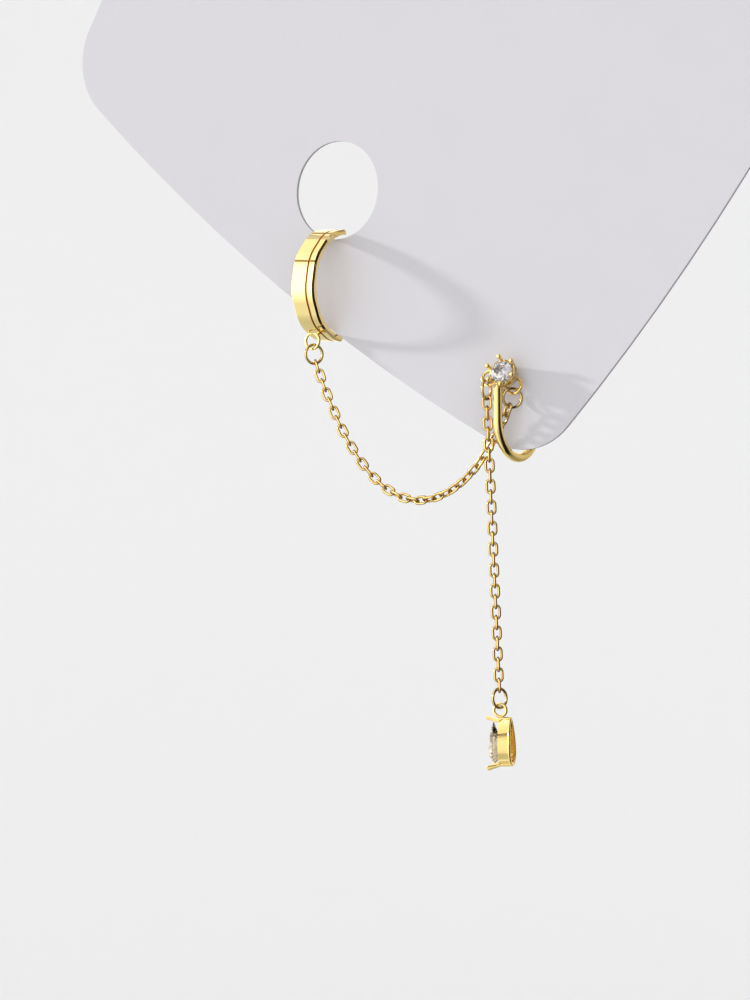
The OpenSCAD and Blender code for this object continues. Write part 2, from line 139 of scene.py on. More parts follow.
class NodeTree:
    """Short calls for building a shader or geometry tree."""

    # Places of a colour mix's sockets, whose names repeat
    FACTOR, FIRST, SECOND, MIXED = 0, 6, 7, 2

    def __init__(self, tree: bpy.types.NodeTree) -> None:
        """Keeps the tree that the calls fill."""
        self.tree = tree

    def add(self, kind: str, feeds: dict = None, **values: object) -> Node:
        """Adds a node and sets its properties and inputs.

        Args:
            kind: Blender's type name of the node.
            feeds: What each named or numbered input gets, as in feed().
            **values: Properties of the node.

        Returns:
            The new node.
        """
        node = self.tree.nodes.new(kind)
        for name, value in values.items():
            setattr(node, name, value)
        self.fill(node, feeds or {})
        return node

    def fill(self, node: Node, feeds: dict) -> None:
        """Gives several inputs of a node their values."""
        for name, value in feeds.items():
            self.feed(value, node.inputs[name])

    def link(self, source: NodeSocket, target: NodeSocket) -> None:
        """Links an output to an input."""
        self.tree.links.new(source, target)

    def feed(self, value: object, target: NodeSocket) -> None:
        """Gives an input its value.

        Args:
            value: A socket to link, a number, a vector or a colour.
            target: The input.
        """
        if isinstance(value, NodeSocket):
            self.link(value, target)
        else:
            target.default_value = (*value, 1.0) if target.type == "RGBA" else value

    def math(self, operation: str, first: object, second: object) -> NodeSocket:
        """Returns the result of one step of arithmetic on two sockets or numbers."""
        return self.add("ShaderNodeMath", {0: first, 1: second}, operation=operation).outputs[0]

    def blend(self, first: object, second: object, shares: tuple) -> NodeSocket:
        """Returns the sum of two values, each times its share."""
        parts = [self.math("MULTIPLY", value, share) for value, share in zip((first, second), shares)]
        return self.math("ADD", *parts)

    def span(self, value: NodeSocket, low: object, high: object,
             start: object = 0.0, end: object = 1.0) -> NodeSocket:
        """Returns a value with its range from low to high mapped onto start to end, held at both."""
        feeds = {"Value": value, "From Min": low, "From Max": high, "To Min": start, "To Max": end}
        return self.add("ShaderNodeMapRange", feeds).outputs["Result"]

    def noise(self, place: NodeSocket, scale: object, detail: float) -> NodeSocket:
        """Returns a noise pattern read at a place, scale being its cells per metre."""
        feeds = {"Vector": place, "Scale": scale, "Detail": detail}
        return self.add("ShaderNodeTexNoise", feeds).outputs["Fac"]

    def ramp(self, value: NodeSocket, stops: list) -> NodeSocket:
        """Adds a colour ramp.

        Args:
            value: Where the ramp is read.
            stops: Pairs of position and colour.

        Returns:
            The colour's socket.
        """
        node = self.add("ShaderNodeValToRGB", {"Fac": value})
        marks = node.color_ramp.elements
        while len(marks) < len(stops):
            marks.new(0.5)
        for mark, (place, colour) in zip(marks, stops):
            mark.position = place
            mark.color = (*colour, 1.0)
        return node.outputs["Color"]

    def mix(self, factor: object, first: object, second: object, kind: str = "MIX") -> NodeSocket:
        """Returns a mix of two colours, each of them a socket or plain values."""
        feeds = {self.FACTOR: factor, self.FIRST: first, self.SECOND: second}
        return self.add("ShaderNodeMix", feeds, data_type="RGBA", blend_type=kind).outputs[self.MIXED]


class SurfaceEffect:
    """A shader group with named inputs and outputs, built once."""

    def __init__(self, name: str, inputs: dict, outputs: dict) -> None:
        """Makes the empty group and its sockets.

        Args:
            name: Name of the group.
            inputs: Input names with their kinds, as in the ends of the socket types.
            outputs: Output names with their kinds.
        """
        self.group = bpy.data.node_groups.new(name, "ShaderNodeTree")
        for side, sockets in (("INPUT", inputs), ("OUTPUT", outputs)):
            for label, kind in sockets.items():
                self.group.interface.new_socket(label, in_out=side, socket_type=f"NodeSocket{kind}")
        self.build = NodeTree(self.group)
        self.into = self.build.add("NodeGroupInput")
        self.out = self.build.add("NodeGroupOutput")
        self.place = self.build.add("ShaderNodeTexCoord").outputs["Object"]

    def streaks(self, stretch: tuple, turn: tuple, scale: float, detail: float) -> NodeSocket:
        """Adds a noise pattern drawn out along one way.

        Args:
            stretch: Scale of the place along each axis.
            turn: Rotation of the place, in radians.
            scale: Cells per metre.
            detail: Octaves of the pattern.

        Returns:
            The pattern's socket.
        """
        feeds = {"Vector": self.place, "Scale": stretch, "Rotation": turn}
        place = self.build.add("ShaderNodeMapping", feeds).outputs["Vector"]
        return self.build.noise(place, scale, detail)

    def use(self, target: NodeTree, **values: object) -> Node:
        """Places the group in a material.

        Args:
            target: The material's tree.
            **values: Values for the group's inputs, spaces written as underscores.

        Returns:
            The group node.
        """
        node = target.add("ShaderNodeGroup", node_tree=self.group)
        target.fill(node, {name.replace("_", " "): value for name, value in values.items()})
        return node


class HandlingWear(SurfaceEffect):
    """Fine scratches and faint cloudiness of polished plate."""

    CLOUD_SPAN = (0.35, 0.7)
    CLOUD_TINT = 0.35
    SHARES = (0.6, 0.4)

    def __init__(self) -> None:
        """Builds the group."""
        super().__init__(
            "handling_wear",
            {"Colour": "Color", "Deep Colour": "Color", "Cloud Scale": "Float", "Smooth": "Float",
             "Worn": "Float"},
            {"Colour": "Color", "Roughness": "Float", "Height": "Float"})
        tree, given = self.build, self.into.outputs
        mask = tree.span(tree.noise(self.place, given["Cloud Scale"], 4.0), *self.CLOUD_SPAN)
        tint = tree.math("MULTIPLY", mask, self.CLOUD_TINT)
        colour = tree.mix(tint, given["Colour"], given["Deep Colour"])
        hairlines = self.streaks((1.0, 1.0, 0.12), (0.5, 0.3, 0.0), 9000.0, 2.0)
        rough = tree.span(tree.blend(mask, hairlines, self.SHARES), 0.0, 1.0, given["Smooth"], given["Worn"])
        tree.fill(self.out, {"Colour": colour, "Roughness": rough, "Height": hairlines})


class PaperGrain(SurfaceEffect):
    """Fibres and faint mottling of smooth card."""

    SHARES = (0.6, 0.4)
    LEAST_ROUGH = 0.62
    ROUGHER = 0.15

    def __init__(self) -> None:
        """Builds the group."""
        super().__init__(
            "paper_grain",
            {"Colour": "Color", "Fibre Colour": "Color", "Mottle": "Float"},
            {"Colour": "Color", "Height": "Float", "Roughness": "Float"})
        tree, given = self.build, self.into.outputs
        broad = tree.noise(self.place, 140.0, 4.0)
        fibre = self.streaks((1.0, 1.0, 0.35), (0.0, 0.6, 0.0), 5200.0, 5.0)
        tint = tree.math("MULTIPLY", tree.blend(broad, fibre, self.SHARES), given["Mottle"])
        colour = tree.mix(tint, given["Colour"], given["Fibre Colour"])
        rough = tree.math("ADD", tree.math("MULTIPLY", broad, self.ROUGHER), self.LEAST_ROUGH)
        tree.fill(self.out, {"Colour": colour, "Height": fibre, "Roughness": rough})


@dataclass(frozen=True)
class Effects:
    """The shared surface effects."""

    wear: HandlingWear
    grain: PaperGrain


@dataclass(frozen=True)
class Finish:
    """Base of the finishes: a named material with a Principled shader."""

    name: str
    relief: float = 0.0
    relief_strength: float = 0.6

    def start(self) -> tuple:
        """Makes the material.

        Returns:
            The material, its tree and its Principled node.
        """
        material = bpy.data.materials.new(self.name)
        material.use_nodes = True
        return material, NodeTree(material.node_tree), material.node_tree.nodes["Principled BSDF"]

    def bump(self, tree: NodeTree, shader: Node, height: NodeSocket) -> None:
        """Adds relief to the shader, as deep as the finish's own value in metres.

        Args:
            tree: The material's tree.
            shader: Its Principled node.
            height: Where the relief comes from.
        """
        feeds = {"Strength": self.relief_strength, "Distance": self.relief, "Height": height}
        tree.link(tree.add("ShaderNodeBump", feeds).outputs["Normal"], shader.inputs["Normal"])


@dataclass(frozen=True)
class GoldPlate(Finish):
    """Polished gold plate with light handling wear, and painted shade that darkens its rims where the
    surface turns away from the view.
    """

    relief: float = 0.0000012
    colour: tuple = (1.0, 0.77, 0.32)
    deep_colour: tuple = (0.92, 0.62, 0.22)
    smooth: float = 0.07
    worn: float = 0.2
    cloud_scale: float = 420.0
    # Painted shade: a dark colour mixed in towards the rims, where the surface turns away from the view
    rim_shade_colour: tuple = (0.13, 0.06, 0.01)
    rim_shade_share: float = 0.0
    rim_shade_span: tuple = (0.06, 0.55)

    def wear(self, tree: NodeTree, effects: Effects) -> Node:
        """Returns the wear of this plate, placed in its material's tree."""
        return effects.wear.use(tree, Colour=self.colour, Deep_Colour=self.deep_colour,
                                Cloud_Scale=self.cloud_scale, Smooth=self.smooth, Worn=self.worn)

    def make(self, effects: Effects) -> Material:
        """Makes the material.

        Args:
            effects: The shared effects.

        Returns:
            The material.
        """
        material, tree, shader = self.start()
        wear = self.wear(tree, effects)
        colour = wear.outputs["Colour"]
        # Painted shade: the colour turns dark towards the rims, where the surface faces away from the view
        if self.rim_shade_share > 0.0:
            facing = tree.add("ShaderNodeLayerWeight").outputs["Facing"]
            rim_shade = tree.span(facing, *self.rim_shade_span, end=self.rim_shade_share)
            colour = tree.mix(rim_shade, colour, self.rim_shade_colour)
        tree.fill(shader, {"Base Color": colour, "Metallic": 1.0, "Roughness": wear.outputs["Roughness"]})
        self.bump(tree, shader, wear.outputs["Height"])
        return material


@dataclass(frozen=True)
class GroovedGold(GoldPlate):
    """Gold plate of the cuff, darker and rougher in a narrow band along its groove."""

    relief: float = 0.000001
    colour: tuple = (1.0, 0.79, 0.36)
    deep_colour: tuple = (0.94, 0.66, 0.26)
    smooth: float = 0.06
    worn: float = 0.16
    cloud_scale: float = 260.0
    groove_colour: tuple = (0.5, 0.21, 0.03)
    groove_x: float = 0.59
    groove_half: float = 0.13
    fade: float = 1.25
    groove_rough: float = 0.3

    def make(self, effects: Effects) -> Material:
        """Makes the material.

        Args:
            effects: The shared effects.

        Returns:
            The material.
        """
        material, tree, shader = self.start()
        wear = self.wear(tree, effects)
        place = tree.add("ShaderNodeTexCoord").outputs["Object"]
        middle = tree.add("ShaderNodeVectorMath", {0: place, 1: point(*CUFF_MIDDLE)}, operation="SUBTRACT")
        tilt = math.radians(CUFF_TILT)
        along = (math.cos(tilt), 0.0, -math.sin(tilt))
        axis = tree.add("ShaderNodeVectorMath", {0: middle.outputs["Vector"], 1: along},
                        operation="DOT_PRODUCT")
        side = tree.math("SUBTRACT", axis.outputs["Value"], self.groove_x * MM)
        away = tree.math("ABSOLUTE", side, 0.0)
        held = tree.span(away, self.groove_half * MM, self.groove_half * self.fade * MM, 1.0, 0.0)
        # A darker, rougher colour in a narrow band along the groove
        colour = tree.mix(held, wear.outputs["Colour"], self.groove_colour)
        rough = tree.math("ADD", wear.outputs["Roughness"], tree.math("MULTIPLY", held, self.groove_rough))
        tree.fill(shader, {"Base Color": colour, "Metallic": 1.0, "Roughness": rough})
        self.bump(tree, shader, wear.outputs["Height"])
        return material


@dataclass(frozen=True)
class CutStone(Finish):
    """Clear stone with bright facets."""

    tint: tuple = (0.93, 0.92, 0.96)
    shade: tuple = (0.45, 0.43, 0.52)
    index: float = 2.15
    haze_scale: float = 1500.0
    haze_span: tuple = (0.4, 0.62)
    haze_share: float = 0.02

    def make(self, effects: Effects) -> Material:
        """Makes the material, whose polish varies slightly.

        Args:
            effects: The shared effects; not used.

        Returns:
            The material.
        """
        material, tree, shader = self.start()
        place = tree.add("ShaderNodeTexCoord").outputs["Object"]
        haze = tree.noise(place, self.haze_scale, 2.0)
        colour = tree.mix(tree.span(haze, *self.haze_span), self.tint, self.shade)
        rough = tree.math("MULTIPLY", haze, self.haze_share)
        tree.fill(shader, {"Base Color": colour, "Roughness": rough, "Transmission Weight": 1.0,
                           "IOR": self.index})
        return material


@dataclass(frozen=True)
class CardStock(Finish):
    """Smooth pale card whose cut edge is painted darker, as painted shade."""

    relief: float = 0.000006
    colour: tuple = (0.60, 0.588, 0.614)
    fibre: tuple = (0.55, 0.536, 0.563)
    # Painted shade: the darker colour given to the cut edge
    edge: tuple = (0.30, 0.29, 0.31)
    edge_shade_span: tuple = (0.4, 0.8)
    mottle: float = 0.5
    sheen: float = 0.25

    def make(self, effects: Effects) -> Material:
        """Makes the material.

        Args:
            effects: The shared effects.

        Returns:
            The material.
        """
        material, tree, shader = self.start()
        grain = effects.grain.use(tree, Colour=self.colour, Fibre_Colour=self.fibre, Mottle=self.mottle)
        normal = tree.add("ShaderNodeTexCoord").outputs["Normal"]
        parts = tree.add("ShaderNodeSeparateXYZ", {0: normal})
        # Painted shade: faces that turn sideways, the cut edge, get the darker colour
        cut = tree.span(tree.math("ABSOLUTE", parts.outputs["Y"], 0.0), *self.edge_shade_span, 1.0, 0.0)
        colour = tree.mix(cut, grain.outputs["Colour"], self.edge)
        tree.fill(shader, {"Base Color": colour, "Roughness": grain.outputs["Roughness"],
                           "Specular IOR Level": self.sheen})
        self.bump(tree, shader, grain.outputs["Height"])
        return material


@dataclass
class Piece:
    """One dressed piece: its node, body, slot and material."""

    node: str
    body: Body
    slot: Slot
    material: Material

    def place(self, thing: bpy.types.Object) -> None:
        """Gives a finished object its material, hides its node and links it to its body.

        Args:
            thing: The object, at the origin.
        """
        bpy.context.scene.collection.objects.link(thing)
        thing.data.materials.clear()
        thing.data.materials.append(self.material)
        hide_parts(self.node)
        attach(thing, self.body.value)
        LOG.info("%s: %d faces on %s", thing.name, len(thing.data.polygons), self.body.value)


class MeshMaker:
    """Adds closed shells to one mesh."""

    def __init__(self) -> None:
        """Starts an empty mesh."""
        self.work = bmesh.new()

    def sweep(self, rings: list, closed: bool = False) -> None:
        """Joins rings of points with faces.

        Args:
            rings: Lists of points, equally many in each.
            closed: Whether the last ring joins the first.
        """
        rows = [[self.work.verts.new(place) for place in ring] for ring in rings]
        count = len(rows[0])
        pairs = list(zip(rows, rows[1:]))
        if closed:
            pairs.append((rows[-1], rows[0]))
        else:
            self.work.faces.new(rows[0][::-1])
            self.work.faces.new(rows[-1])
        for first, second in pairs:
            for index in range(count):
                after = (index + 1) % count
                self.work.faces.new((first[index], first[after], second[after], second[index]))

    def tube(self, path: list, radius: float, closed: bool = False, sides: int = 28) -> None:
        """Sweeps a round wire along a path.

        Args:
            path: Points of the path.
            radius: Radius of the wire.
            closed: Whether the path is a loop.
            sides: Points round the wire.
        """
        rings = []
        across = None
        for index, place in enumerate(path):
            before = path[index - 1] if closed or index > 0 else place
            after = path[(index + 1) % len(path)] if closed or index < len(path) - 1 else place
            along = (after - before).normalized()
            across = along.orthogonal() if across is None else across - along * across.dot(along)
            across.normalize()
            other = along.cross(across)
            rings.append([place + (across * math.cos(a) + other * math.sin(a)) * radius
                          for a in circle_angles(sides)])
        self.sweep(rings, closed)

    def ball(self, middle: Vector, radius: float) -> None:
        """Adds a ball."""
        bmesh.ops.create_uvsphere(self.work, u_segments=20, v_segments=12, radius=radius,
                                  matrix=Matrix.Translation(middle))

    def mesh(self, name: str) -> bpy.types.Mesh:
        """Returns the finished mesh, its faces outward."""
        bmesh.ops.recalc_face_normals(self.work, faces=self.work.faces)
        made = bpy.data.meshes.new(name)
        self.work.to_mesh(made)
        self.work.free()
        return made


@dataclass
class Metalwork(Piece):
    """A metal piece taken from its solid, shaded smoothly; sizes in millimetres and degrees."""

    edge_angle: float = 34.0
    soft_edge: float = 0.0
    merge: float = 0.002
    bevelled_from: float = 40.0

    def shell(self, maker: MeshMaker, frame: dict) -> None:
        """Copies the solid's faces to the maker and merges their corners."""
        maker.work.from_mesh(frame["nodes"][self.node].data)
        bmesh.ops.remove_doubles(maker.work, verts=maker.work.verts, dist=self.merge * MM)

    def extras(self, maker: MeshMaker) -> None:
        """Adds nothing; richer pieces add their own shells."""

    def build(self, frame: dict) -> None:
        """Makes the piece.
        """
        name = f"{self.node}_dressed"
        maker = MeshMaker()
        self.shell(maker, frame)
        self.extras(maker)
        mesh = maker.mesh(name)
        mesh.shade_smooth()
        mesh.set_sharp_from_angle(angle=math.radians(self.edge_angle))
        thing = bpy.data.objects.new(name, mesh)
        if self.soft_edge > 0.0:
            bevel = thing.modifiers.new("soft_edge", "BEVEL")
            bevel.width = self.soft_edge * MM
            bevel.segments = 2
            bevel.limit_method = "ANGLE"
            bevel.angle_limit = math.radians(self.bevelled_from)
            bevel.harden_normals = True
        self.place(thing)


@dataclass
class CuffBand(Metalwork):
    """The cuff's band with soft flats, a fine groove and a soldered loop."""

    outer_r: float = 6.85
    corner_r: float = 4.5
    bore_r: float = 6.13
    half_width: float = 1.68
    bevel: float = 0.22
    groove: tuple = (0.59, 0.09, 0.12)
    ends: tuple = (-91.0, 86.0)
    end_cut: float = 0.14
    steps: int = 168
    first_flat: float = 6.3
    flat_step: float = 36.0
    loop: tuple = (-0.83, -2.72, -6.99)
    loop_r: float = 0.97
    loop_wire_r: float = 0.19
    loop_steps: int = 48

    def reach(self, height: float) -> float:
        """Gives the distance from the axis to the band's front.

        Args:
            height: Height as an angle in degrees.

        Returns:
            The distance in millimetres.
        """
        half_step = self.flat_step / 2.0
        half = math.radians(half_step)
        flat_r = (self.outer_r - self.corner_r) * math.cos(half) + self.corner_r
        away = abs(math.radians((height - self.first_flat + half_step) % self.flat_step - half_step))
        if away < math.atan((flat_r - self.corner_r) * math.tan(half) / flat_r):
            return flat_r / math.cos(away)
        arm = (flat_r - self.corner_r) / math.cos(half)
        across = arm * math.sin(half - away)
        return arm * math.cos(half - away) + math.sqrt(self.corner_r ** 2 - across ** 2)

    def section(self, height: float, cut: float) -> list:
        """Returns the band's section at a height.

        Args:
            height: Height as an angle in degrees.
            cut: How much the end is cut back.

        Returns:
            The section's points in the cuff's own frame.
        """
        out = self.reach(height) - cut
        half, bevel = self.half_width, self.bevel
        middle, wide, deep = self.groove
        corners = ((-half, self.bore_r), (-half, out - bevel), (bevel - half, out), (middle - wide, out),
                   (middle, out - deep), (middle + wide, out), (half - bevel, out), (half, out - bevel),
                   (half, self.bore_r))
        angle = math.radians(height)
        return [point(x, -r * math.cos(angle), r * math.sin(angle)) for x, r in corners]

    def shell(self, maker: MeshMaker, frame: dict) -> None:
        """Sweeps the band and adds its loop.

        Args:
            maker: Where the faces go.
        """
        low, high = self.ends
        last = self.steps
        maker.sweep([self.section(low + (high - low) * i / last, self.end_cut if i in (0, last) else 0.0)
                     for i in range(last + 1)])
        middle = point(*self.loop)
        maker.tube([middle + point(math.cos(a), 0.0, math.sin(a)) * self.loop_r
                    for a in circle_angles(self.loop_steps)], self.loop_wire_r * MM, closed=True)
        turn = turned(-CARD_LEAN, "X") @ turned(CUFF_TILT, "Y")
        maker.work.transform(Matrix.Translation(point(*CUFF_MIDDLE)) @ turn.to_4x4())


@dataclass
class ClipWork(Metalwork):
    """The lobe clip with a smooth hook and rounded prong tips."""

    setting: Matrix = field(default_factory=Matrix)
    hook_at: tuple = (-0.37, 0.12)
    hook_top: float = -2.1
    hook_drop: float = 5.85
    hook_r: float = 4.25
    hook_bend: float = 240.0
    bend_steps: int = 48
    leg_steps: int = 6
    rear_leg: float = 3.6
    wire_r: float = 0.545
    wire_sides: int = 32
    prongs: int = 6
    prong_ring: float = 1.74
    tip_r: float = 0.31

    def extras(self, maker: MeshMaker) -> None:
        """Adds the hook's wire and the six prong tips.

        Args:
            maker: Where the faces go.
        """
        lean = turned(-CARD_LEAN, "X")
        origin = point(*CLIP_STONE)
        x, y = self.hook_at
        leg = self.hook_drop + self.hook_top
        path = [Vector((x, y, self.hook_top - leg * i / self.leg_steps)) for i in range(self.leg_steps)]
        middle = Vector((x, y + self.hook_r, -self.hook_drop))
        turns = [math.radians(self.hook_bend * i / self.bend_steps) for i in range(self.bend_steps + 1)]
        path += [middle - Vector((0.0, math.cos(t), math.sin(t))) * self.hook_r for t in turns]
        rear = turns[-1] - math.pi
        path.append(path[-1] + Vector((0.0, -math.sin(rear), math.cos(rear))) * self.rear_leg)
        maker.tube([origin + lean @ (place * MM) for place in path], self.wire_r * MM, sides=self.wire_sides)
        for angle in circle_angles(self.prongs):
            tip = point(math.sin(angle), 0.0, math.cos(angle)) * self.prong_ring
            maker.ball(origin + self.setting @ tip, self.tip_r * MM)


@dataclass
class DropWork(Metalwork):
    """The pear setting with its prongs carried back along the wall."""

    turn: Matrix = field(default_factory=Matrix)
    straps: tuple = ((0.0, 3.45, 3.86), (156.0, 1.7, 1.94), (204.0, 1.7, 1.94))
    strap_half: float = 0.25
    strap_depths: tuple = (-0.2, 1.31)
    rim_size: tuple = (3.5, 5.62)
    rim_back: float = 1.2
    rim_wire_r: float = 0.17
    rim_steps: int = 96
    rim_sides: int = 16

    def extras(self, maker: MeshMaker) -> None:
        """Adds a strap on the wall behind each prong and a rim along the wall's back edge.

        Args:
            maker: Where the faces go.
        """
        origin = point(*PENDANT_PIVOT) + point(0.0, 0.0, -PEAR_DOWN)
        half = self.strap_half
        for angle, low, high in self.straps:
            spin = self.turn @ turned(angle, "Y")
            corners = ((-half, low), (half, low), (half, high), (-half, high))
            maker.sweep([[origin + spin @ point(x, y, z) for x, z in corners] for y in self.strap_depths])
        edge = [pear_outline(*self.rim_size, angle) for angle in circle_angles(self.rim_steps, 0.5)]
        maker.tube([origin + self.turn @ point(flat.x, self.rim_back, flat.y) for flat in edge],
                   self.rim_wire_r * MM, closed=True, sides=self.rim_sides)


@dataclass
class CutGem(Piece):
    """A faceted stone built ring by ring from its table to its culet."""

    # Faces that differ less than this make one facet
    FLAT_WITHIN = math.radians(0.6)

    middle: Vector = field(default_factory=Vector)
    turn: Matrix = field(default_factory=Matrix)

    def outline(self, angle: float) -> Vector:
        """Returns the girdle's point at an angle, in the plane of the girdle, in millimetres."""
        raise NotImplementedError

    def heights(self) -> tuple:
        """Returns rings as (share of the outline, height, count, offset in steps)."""
        raise NotImplementedError

    def build(self) -> None:
        """Makes the hull of the rings, so every facet is flat."""
        maker = MeshMaker()
        work = maker.work
        for share, height, count, offset in self.heights():
            for angle in circle_angles(count, offset):
                flat = self.outline(angle) * share
                local = Vector((flat.x, -height, flat.y)) * MM
                work.verts.new(self.middle + self.turn @ local)
        hull = bmesh.ops.convex_hull(work, input=work.verts)
        bmesh.ops.delete(work, geom=hull["geom_interior"] + hull["geom_unused"], context="VERTS")
        bmesh.ops.dissolve_limit(work, angle_limit=self.FLAT_WITHIN, verts=work.verts, edges=work.edges)
        name = f"{self.node}_cut"
        self.place(bpy.data.objects.new(name, maker.mesh(name)))


@dataclass
class RoundBrilliant(CutGem):
    """The clip's round stone."""

    radius: float = 1.36

    def outline(self, angle: float) -> Vector:
        """Returns a point of the round girdle."""
        return Vector((math.sin(angle), math.cos(angle))) * self.radius

    def heights(self) -> tuple:
        """Returns the rings of a round brilliant."""
        return ((0.55, 0.47, 8, 0.0), (0.74, 0.36, 8, 0.5), (0.9, 0.18, 16, 0.5), (1.0, 0.03, 16, 0.0),
                (1.0, -0.03, 16, 0.0), (0.72, -0.37, 16, 0.5), (0.4, -0.72, 8, 0.5), (0.03, -1.13, 8, 0.0))


@dataclass
class PearBrilliant(CutGem):
    """The drop's pear stone, with its point up."""

    width: float = 3.1
    length: float = 5.15

    def outline(self, angle: float) -> Vector:
        """Returns a point of the pear girdle."""
        return pear_outline(self.width, self.length, angle)

    def heights(self) -> tuple:
        """Returns the rings of a pear brilliant."""
        return ((0.54, 0.56, 8, 0.0), (0.72, 0.42, 8, 0.5), (0.87, 0.21, 16, 0.5), (0.95, 0.03, 16, 0.0),
                (0.95, -0.03, 16, 0.0), (0.72, -0.4, 16, 0.5), (0.45, -0.72, 8, 0.5), (0.06, -1.18, 8, 0.0))


@dataclass
class LinkSizes:
    """Sizes of one chain link, in millimetres."""

    length: float = 1.815
    width: float = 1.14
    wire: float = 0.24
    shown_wire: float = 0.31
    gap: float = 0.1
    ring_wire: float = 0.34

    def pitch(self) -> float:
        """Returns the step from one link to the next."""
        return self.length - 2.0 * self.wire - self.gap

    def to_ring(self) -> float:
        """Returns the step from an end link's middle to the ring's wire."""
        return self.length / 2.0 - self.wire - self.gap - self.ring_wire / 2.0


@dataclass
class HangingLine:
    """Two half catenaries that meet at the chain's lowest point."""

    start: Vector
    end: Vector
    length: float
    skew: float
    sizes: tuple = (2.0, 20.0)
    halvings: int = 60

    def across(self, size: float, run: float) -> float:
        """Returns how far across a half catenary goes along an arc length."""
        return size * math.asinh(run / size)

    def rise(self, size: float, run: float) -> float:
        """Returns how far up a half catenary goes along an arc length."""
        return math.hypot(size, run) - size

    def halved(self, low: float, high: float, short: Callable) -> float:
        """Finds a value by halving its range.

        Args:
            low: Start of the range.
            high: End of the range.
            short: Tells whether a value is too small.

        Returns:
            The largest value found to be too small.
        """
        for _ in range(self.halvings):
            middle = (low + high) / 2.0
            low, high = (middle, high) if short(middle) else (low, middle)
        return low

    def left_run(self, size: float) -> float:
        """Returns the arc length from the left end to the lowest point, for a catenary's size."""
        wide, fall = size * self.skew, self.start.z - self.end.z
        return self.halved(0.0, self.length, lambda run: (
            self.rise(size, run) - self.rise(wide, self.length - run) - fall < 0.0))

    def solve(self) -> tuple:
        """Finds the size at which the chain spans its two ends.

        Returns:
            The left catenary's size and its arc length.
        """
        span = math.hypot(self.end.x - self.start.x, self.end.y - self.start.y)

        def short(size: float) -> bool:
            """Tells whether a size leaves the ends too close together."""
            run = self.left_run(size)
            return self.across(size, run) + self.across(size * self.skew, self.length - run) < span

        size = self.halved(*self.sizes, short)
        return size, self.left_run(size)

    def at(self, run: float, solved: tuple) -> tuple:
        """Gives the place and slope at an arc length.

        Args:
            run: Arc length from the left end.
            solved: What solve() returned.

        Returns:
            How far along, how far up, and the slope in radians.
        """
        size, low = solved
        if run < low:
            along = self.across(size, low) - self.across(size, low - run)
            return along, self.rise(size, low - run) - self.rise(size, low), -math.atan((low - run) / size)
        wide = size * self.skew
        along = self.across(size, low) + self.across(wide, run - low)
        return along, self.rise(wide, run - low) - self.rise(size, low), math.atan((run - low) / wide)


class LinkTree:
    """Geometry nodes that put a wire link on every point of a chain."""

    CORNER_POINTS = 7
    WIRE_SIDES = 12
    # Corner radius as a share of the link's width, just under the half that would pinch
    ROUND_SHARE = 0.4995

    def __init__(self) -> None:
        """Builds the tree with named inputs for the link's sizes."""
        self.tree = bpy.data.node_groups.new("chain_links", "GeometryNodeTree")
        face = self.tree.interface
        self.keys = {}
        face.new_socket("Points", in_out="INPUT", socket_type="NodeSocketGeometry")
        for name, kind in (("Length", "Float"), ("Width", "Float"), ("Wire", "Float"),
                           ("Finish", "Material")):
            socket = face.new_socket(name, in_out="INPUT", socket_type=f"NodeSocket{kind}")
            self.keys[name] = socket.identifier
        face.new_socket("Links", in_out="OUTPUT", socket_type="NodeSocketGeometry")
        self.fill()

    def fill(self) -> None:
        """Adds and links the nodes."""
        tree = NodeTree(self.tree)
        into = tree.add("NodeGroupInput")
        out = tree.add("NodeGroupOutput")
        given = into.outputs
        path = tree.add("GeometryNodeCurvePrimitiveQuadrilateral",
                        {"Width": given["Length"], "Height": given["Width"]}, mode="RECTANGLE")
        corner = tree.math("MULTIPLY", given["Width"], self.ROUND_SHARE)
        rounded = tree.add("GeometryNodeFilletCurve",
                           {"Curve": path.outputs["Curve"], "Count": self.CORNER_POINTS,
                            "Limit Radius": True, "Radius": corner}, mode="POLY")
        wire = tree.add("GeometryNodeCurvePrimitiveCircle",
                        {"Resolution": self.WIRE_SIDES, "Radius": given["Wire"]})
        link = tree.add("GeometryNodeCurveToMesh",
                        {"Curve": rounded.outputs["Curve"], "Profile Curve": wire.outputs["Curve"]})
        smooth = tree.add("GeometryNodeSetShadeSmooth", {"Geometry": link.outputs["Mesh"]})
        points = tree.add("GeometryNodeMeshToPoints", {"Mesh": given["Points"]})
        turn = tree.add("GeometryNodeInputNamedAttribute", {"Name": "link_turn"}, data_type="FLOAT_VECTOR")
        euler = tree.add("FunctionNodeEulerToRotation", {"Euler": turn.outputs["Attribute"]})
        put = tree.add("GeometryNodeInstanceOnPoints",
                       {"Points": points.outputs["Points"], "Instance": smooth.outputs["Geometry"],
                        "Rotation": euler.outputs["Rotation"]})
        real = tree.add("GeometryNodeRealizeInstances", {"Geometry": put.outputs["Instances"]})
        finish = tree.add("GeometryNodeSetMaterial",
                          {"Geometry": real.outputs["Geometry"], "Material": given["Finish"]})
        tree.link(finish.outputs["Geometry"], out.inputs["Links"])


